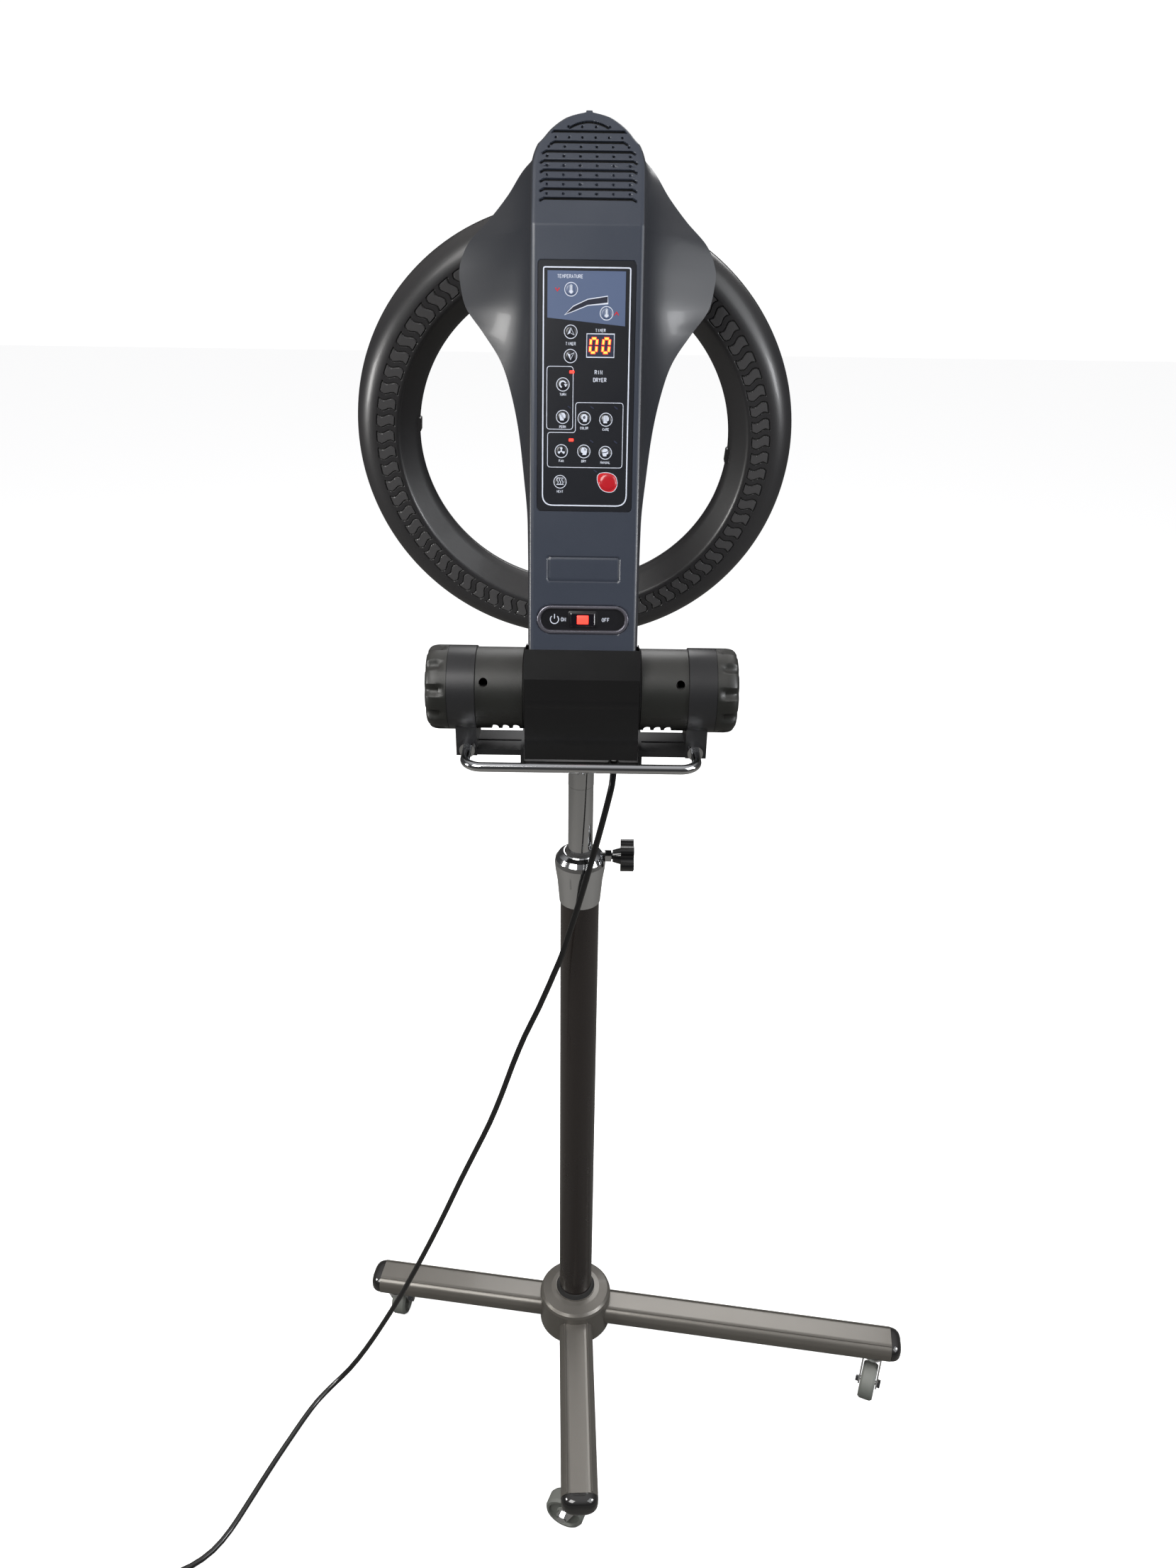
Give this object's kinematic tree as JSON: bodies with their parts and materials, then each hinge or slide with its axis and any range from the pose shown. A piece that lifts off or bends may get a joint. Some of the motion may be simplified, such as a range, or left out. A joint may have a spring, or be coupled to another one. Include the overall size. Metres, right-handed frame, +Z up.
{
  "type": "hood hair dryer",
  "caption": "Salon hood dryer with an orbiting halo ring on a leaning head with control panel, hinged on a height-adjustable pole with a rolling cross base.",
  "frame": {"origin": "on the floor under the middle of the object's plan, measured without the cord; the pole stands 79 mm towards -X from it", "axes": "+Z up the pole, +X along the long leg's side, +Y from the control panel towards the client"},
  "size_m": [1.0602, 0.778, 1.5811],
  "materials": {
    "hood_plastic": "satin moulded ABS, blue-grey",
    "lid_plastic": "satin moulded ABS",
    "hinge_plastic": "satin moulded ABS, dark olive",
    "yoke_plastic": "fine-grained black ABS",
    "bracket_metal": "black coated casting",
    "ring_plastic": "satin moulded heat-resistant plastic",
    "panel_film": "printed polyester film",
    "key_film": "embossed printed key",
    "start_film": "embossed red key",
    "board": "green solder resist",
    "switch_plate": "silver ring on a black plate",
    "motor_metal": "grey coated",
    "chrome": "polished",
    "steel": "bright drawn",
    "pole_paint": "satin black-brown powder coat",
    "leg_paint": "metallic taupe paint",
    "cap_plastic": "glossy black",
    "wheel_rubber": "grey-green tread",
    "seal_rubber": "matt black",
    "nylon": "natural nylon",
    "cord_sheath": "smooth black sheath"
  },
  "bodies": {
    "stand": {"outer_pole": "pole_paint", "base_hub": "leg_paint", "leg_long": "leg_paint", "legs_short": "leg_paint", "leg_end_caps": "cap_plastic", "caster_stems": "chrome", "pole_seals": "seal_rubber", "pole_collar": "chrome", "cord_lower": "cord_sheath", "cord_coil": "cord_sheath", "mains_plug": "cord_sheath"},
    "mast": {"mast_tube": "chrome", "mast_guide": "nylon", "cord_middle": "cord_sheath"},
    "bracket": {"mast_sleeve": "chrome", "hinge_bracket": "bracket_metal", "spring_housing_left": "hinge_plastic", "spring_housing_right": "hinge_plastic", "torsion_springs": "steel", "handle_bar": "chrome", "cord_gland": "seal_rubber", "cord_upper": "cord_sheath"},
    "head": {"yoke_cover": "yoke_plastic", "hinge_shaft": "steel", "front_shell": "hood_plastic", "back_shell": "lid_plastic", "control_panel": "panel_film", "control_board": "board", "power_plate": "switch_plate", "fan_motor": "motor_metal", "orbit_motor": "motor_metal"},
    "ring": {"orbit_hub": "ring_plastic", "ring_front_shell": "ring_plastic", "ring_back_shell": "ring_plastic"},
    "fan": {"fan_rotor": "cap_plastic"},
    "rocker": {"power_rocker": "cap_plastic"},
    "star_knob": {"star_knob": "cap_plastic"},
    "knob_left": {"tension_knob_left": "hinge_plastic"},
    "knob_right": {"tension_knob_right": "hinge_plastic"},
    "caster_right": {"caster_fork_right": "chrome"},
    "wheel_right": {"caster_wheel_right": "wheel_rubber"},
    "caster_left": {"caster_fork_left": "chrome"},
    "wheel_left": {"caster_wheel_left": "wheel_rubber"},
    "caster_front": {"caster_fork_front": "chrome"},
    "wheel_front": {"caster_wheel_front": "wheel_rubber"},
    "caster_back": {"caster_fork_back": "chrome"},
    "wheel_back": {"caster_wheel_back": "wheel_rubber"},
    "key_temp_down": {"key_temp_down": "key_film"},
    "key_temp_up": {"key_temp_up": "key_film"},
    "key_timer_up": {"key_timer_up": "key_film"},
    "key_timer_down": {"key_timer_down": "key_film"},
    "key_rotate": {"key_rotate": "key_film"},
    "key_perm": {"key_perm": "key_film"},
    "key_colour": {"key_colour": "key_film"},
    "key_treatment": {"key_treatment": "key_film"},
    "key_fan": {"key_fan": "key_film"},
    "key_dry": {"key_dry": "key_film"},
    "key_manual": {"key_manual": "key_film"},
    "key_heat": {"key_heat": "key_film"},
    "key_start": {"key_start": "start_film"}
  },
  "joints": [
    {"name": "mast_slide", "type": "slide", "parent": "stand", "child": "mast", "axis": [0, 0, 1], "range_m": [0, 0.26]},
    {"name": "mast_swivel", "type": "hinge", "parent": "mast", "child": "bracket", "pos_m": [-0.07922, 0, 0.948], "axis": [0, 0, 1], "range_deg": [-60, 60]},
    {"name": "head_tilt", "type": "hinge", "parent": "bracket", "child": "head", "pos_m": [-0.07922, 0, 1.045], "axis": [-1, 0, 0], "range_deg": [-15, 60]},
    {"name": "ring_orbit", "type": "hinge", "parent": "head", "child": "ring", "pos_m": [-0.07922, 0.12481, 1.45673], "axis": [0, 0.9659, -0.2588], "continuous": true},
    {"name": "fan_spin", "type": "hinge", "parent": "head", "child": "fan", "pos_m": [-0.07922, 0.12206, 1.52372], "axis": [0, 0.9659, -0.2588], "continuous": true},
    {"name": "power_rock", "type": "hinge", "parent": "head", "child": "rocker", "pos_m": [-0.07922, -0.01884, 1.12925], "axis": [0, 0.2588, 0.9659], "range_deg": [0, 12]},
    {"name": "tension_left", "type": "hinge", "parent": "head", "child": "knob_left", "pos_m": [-0.22922, 0, 1.045], "axis": [-1, 0, 0], "range_deg": [-120, 120]},
    {"name": "tension_right", "type": "hinge", "parent": "head", "child": "knob_right", "pos_m": [0.07078, 0, 1.045], "axis": [1, 0, 0], "range_deg": [-120, 120]},
    {"name": "height_clamp", "type": "hinge", "parent": "stand", "child": "star_knob", "pos_m": [-0.03422, 0, 0.838], "axis": [1, 0, 0], "range_deg": [0, 360]},
    {"name": "swivel_right", "type": "hinge", "parent": "stand", "child": "caster_right", "pos_m": [0.34164, -0.05915, 0.062], "axis": [0, 0, 1], "continuous": true},
    {"name": "roll_right", "type": "hinge", "parent": "caster_right", "child": "wheel_right", "pos_m": [0.33527, -0.07491, 0.025], "axis": [0.9272, -0.3746, 0], "continuous": true},
    {"name": "swivel_left", "type": "hinge", "parent": "stand", "child": "caster_left", "pos_m": [-0.34164, 0.03688, 0.062], "axis": [0, 0, 1], "continuous": true},
    {"name": "roll_left", "type": "hinge", "parent": "caster_left", "child": "wheel_left", "pos_m": [-0.33869, 0.05362, 0.025], "axis": [-0.9848, 0.1736, 0], "continuous": true},
    {"name": "swivel_front", "type": "hinge", "parent": "stand", "child": "caster_front", "pos_m": [-0.06997, -0.26484, 0.062], "axis": [0, 0, 1], "continuous": true},
    {"name": "roll_front", "type": "hinge", "parent": "caster_front", "child": "wheel_front", "pos_m": [-0.08574, -0.25847, 0.025], "axis": [-0.3746, -0.9272, 0], "continuous": true},
    {"name": "swivel_back", "type": "hinge", "parent": "stand", "child": "caster_back", "pos_m": [-0.08246, 0.26498, 0.062], "axis": [0, 0, 1], "continuous": true},
    {"name": "roll_back", "type": "hinge", "parent": "caster_back", "child": "wheel_back", "pos_m": [-0.08246, 0.28198, 0.025], "axis": [-1, 0, 0], "continuous": true},
    {"name": "press_temp_down", "type": "slide", "parent": "head", "child": "key_temp_down", "axis": [0, 0.9659, -0.2588], "range_m": [0, 0.0006], "stiffness_N_per_m": 900},
    {"name": "press_temp_up", "type": "slide", "parent": "head", "child": "key_temp_up", "axis": [0, 0.9659, -0.2588], "range_m": [0, 0.0006], "stiffness_N_per_m": 900},
    {"name": "press_timer_up", "type": "slide", "parent": "head", "child": "key_timer_up", "axis": [0, 0.9659, -0.2588], "range_m": [0, 0.0006], "stiffness_N_per_m": 900},
    {"name": "press_timer_down", "type": "slide", "parent": "head", "child": "key_timer_down", "axis": [0, 0.9659, -0.2588], "range_m": [0, 0.0006], "stiffness_N_per_m": 900},
    {"name": "press_rotate", "type": "slide", "parent": "head", "child": "key_rotate", "axis": [0, 0.9659, -0.2588], "range_m": [0, 0.0006], "stiffness_N_per_m": 900},
    {"name": "press_perm", "type": "slide", "parent": "head", "child": "key_perm", "axis": [0, 0.9659, -0.2588], "range_m": [0, 0.0006], "stiffness_N_per_m": 900},
    {"name": "press_colour", "type": "slide", "parent": "head", "child": "key_colour", "axis": [0, 0.9659, -0.2588], "range_m": [0, 0.0006], "stiffness_N_per_m": 900},
    {"name": "press_treatment", "type": "slide", "parent": "head", "child": "key_treatment", "axis": [0, 0.9659, -0.2588], "range_m": [0, 0.0006], "stiffness_N_per_m": 900},
    {"name": "press_fan", "type": "slide", "parent": "head", "child": "key_fan", "axis": [0, 0.9659, -0.2588], "range_m": [0, 0.0006], "stiffness_N_per_m": 900},
    {"name": "press_dry", "type": "slide", "parent": "head", "child": "key_dry", "axis": [0, 0.9659, -0.2588], "range_m": [0, 0.0006], "stiffness_N_per_m": 900},
    {"name": "press_manual", "type": "slide", "parent": "head", "child": "key_manual", "axis": [0, 0.9659, -0.2588], "range_m": [0, 0.0006], "stiffness_N_per_m": 900},
    {"name": "press_heat", "type": "slide", "parent": "head", "child": "key_heat", "axis": [0, 0.9659, -0.2588], "range_m": [0, 0.0006], "stiffness_N_per_m": 900},
    {"name": "press_start", "type": "slide", "parent": "head", "child": "key_start", "axis": [0, 0.9659, -0.2588], "range_m": [0, 0.0006], "stiffness_N_per_m": 900}
  ]
}
